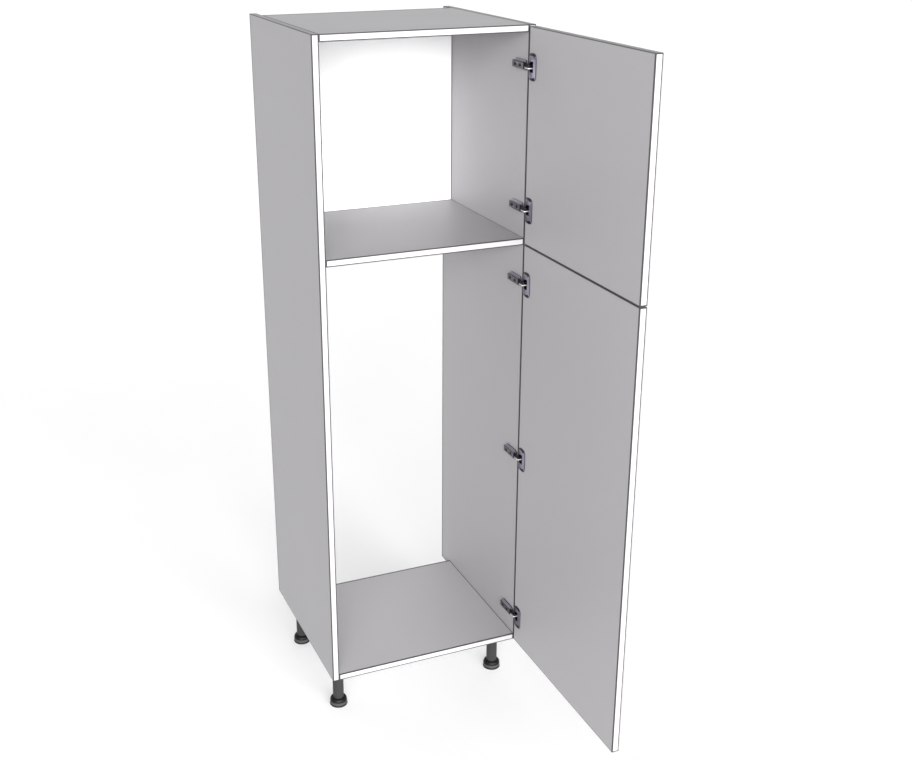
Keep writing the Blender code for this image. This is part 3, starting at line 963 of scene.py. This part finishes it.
def addLegs():
    look = socketLook
    socketLow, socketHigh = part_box("leg_socket_front_left")
    tubeLow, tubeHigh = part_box("leg_tube_front_left")
    footLow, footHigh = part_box("leg_foot_front_left")
    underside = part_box("bottom_panel")[0].z
    reach = (socketHigh - socketLow) / 2
    foot = footMesh((footHigh.x - footLow.x) / 2, footHigh.z)
    tube = tubeMesh((tubeHigh.x - tubeLow.x) / 2, tubeLow.z, tubeHigh.z)
    socket = socketMesh(reach.x, reach.y, socketLow.z - underside, socketHigh.z - underside)
    screw = socketScrewMesh()
    for place in ("front_left", "front_right", "back_left", "back_right"):
        axis = middle("leg_foot_" + place)
        floor = Vector((axis.x, axis.y, 0))
        under = Vector((axis.x, axis.y, underside))
        addPiece("fine_foot_" + place, foot, floor, "foot_" + place, "leg_foot_" + place)
        addPiece("fine_tube_" + place, tube, floor, "cabinet", "leg_tube_" + place)
        addPiece("fine_socket_" + place, socket, under, "cabinet", "leg_socket_" + place)
        plateLow = socketHigh.z - underside - look["plateThickness"]
        for number, (side, end) in enumerate(((-1, -1), (1, -1), (-1, 1), (1, 1)), 1):
            spot = under + Vector((side * look["screwAcross"], end * look["screwAlong"], plateLow))
            addPiece(f"socket_screw_{place}_{number}", screw, spot, "cabinet")


addLegs()
print("legs built")


# The studio: a pale floor, an even pale sky and wide, soft lamps.
studioLook = {
    "floorSize": 60.0,
    "floorColour": (0.600, 0.600, 0.601),
    "floorRoughness": 0.8,
    "floorGloss": 0.2,
    "mottleScale": 3.0,
    "mottleDepth": 0.01,
    "floorGlow": 0.37,
    "skyStrength": 0.30,
}
# Each lamp's strength, and in degrees its side from -Y round to +X, its height above the floor and its width.
lampLook = {
    "key": (1.98, -32, 12, 24),
    "front": (7.6, 0, 10, 60),
    "rearRight": (0.62, 150, 24, 60),
    "rearLeft": (0.68, -150, 24, 60),
}


def addFloor():
    look = studioLook
    shape = bmesh.new()
    bmesh.ops.create_grid(shape, x_segments=2, y_segments=2, size=look["floorSize"] / 2)
    mesh = bpy.data.meshes.new("floor")
    shape.to_mesh(mesh)
    shape.free()
    floor = bpy.data.objects.new("floor", mesh)
    bpy.context.scene.collection.objects.link(floor)
    glow = {"Emission Strength": look["floorGlow"], "Emission Color": (1, 1, 1, 1)}
    finish = Finish("floor", look["floorRoughness"], look["floorGloss"], **glow)
    mottle = finish.noise(look["mottleScale"], detail=3)
    finish.show("Base Color", finish.tint(look["floorColour"], 1 + mottle * look["mottleDepth"]))
    mesh.materials.append(finish.material)


def addLamp(name, strength, side, height, width):
    lamp = bpy.data.lights.new(name, "SUN")
    lamp.energy = strength
    lamp.angle = math.radians(width)
    yaw, height = math.radians(side), math.radians(height)
    holder = bpy.data.objects.new(name, lamp)
    bpy.context.scene.collection.objects.link(holder)
    level = math.cos(height)
    towards = Vector((math.sin(yaw) * level, -math.cos(yaw) * level, math.sin(height)))
    holder.rotation_euler = towards.to_track_quat("Z", "Y").to_euler()


def addSky():
    sky = bpy.data.worlds.new("sky")
    sky.use_nodes = True
    background = sky.node_tree.nodes["Background"]
    background.inputs["Color"].default_value = (1, 1, 1, 1)
    background.inputs["Strength"].default_value = studioLook["skyStrength"]
    bpy.context.scene.world = sky
    bpy.context.scene.view_settings.view_transform = "Standard"


addFloor()
addSky()
for lamp, sizes in lampLook.items():
    addLamp(lamp, *sizes)
print("studio lit")


# The camera, solved from the photograph's own edges. Its place is in metres from the left front lower corner
# of the cabinet, and its angles are in radians.
cameraLook = {
    "corner": (-0.300, 0.0215, 0.150),
    "place": (-0.9348, -2.9774, 2.1633),
    "yaw": 0.3964,
    "pitch": -0.3773,
    "roll": -0.0007,
    "focalPixels": 1267.7,
    "centrePixels": (431.9, 383.6),
    "framePixels": (912, 760),
    "sensorWidth": 36.0,
    "clipEnd": 200,
}


def addCamera():
    look = cameraLook
    wide, high = look["framePixels"]
    lens = bpy.data.cameras.new("camera")
    lens.sensor_width = look["sensorWidth"]
    lens.lens = look["focalPixels"] / wide * look["sensorWidth"]
    lens.shift_x = (wide / 2 - look["centrePixels"][0]) / wide
    lens.shift_y = (look["centrePixels"][1] - high / 2) / wide
    lens.clip_end = look["clipEnd"]
    camera = bpy.data.objects.new("camera", lens)
    bpy.context.scene.collection.objects.link(camera)
    yaw, pitch, roll = look["yaw"], look["pitch"], look["roll"]
    flat = math.cos(pitch)
    ahead = Vector((math.sin(yaw) * flat, math.cos(yaw) * flat, math.sin(pitch)))
    level = Vector((math.cos(yaw), -math.sin(yaw), 0))
    above = level.cross(ahead)
    across = level * math.cos(roll) + above * math.sin(roll)
    turn = Matrix((across, across.cross(ahead), -ahead)).transposed()
    place = Vector(look["corner"]) + Vector(look["place"])
    camera.matrix_world = Matrix.Translation(place) @ turn.to_4x4()
    bpy.context.scene.camera = camera


addCamera()
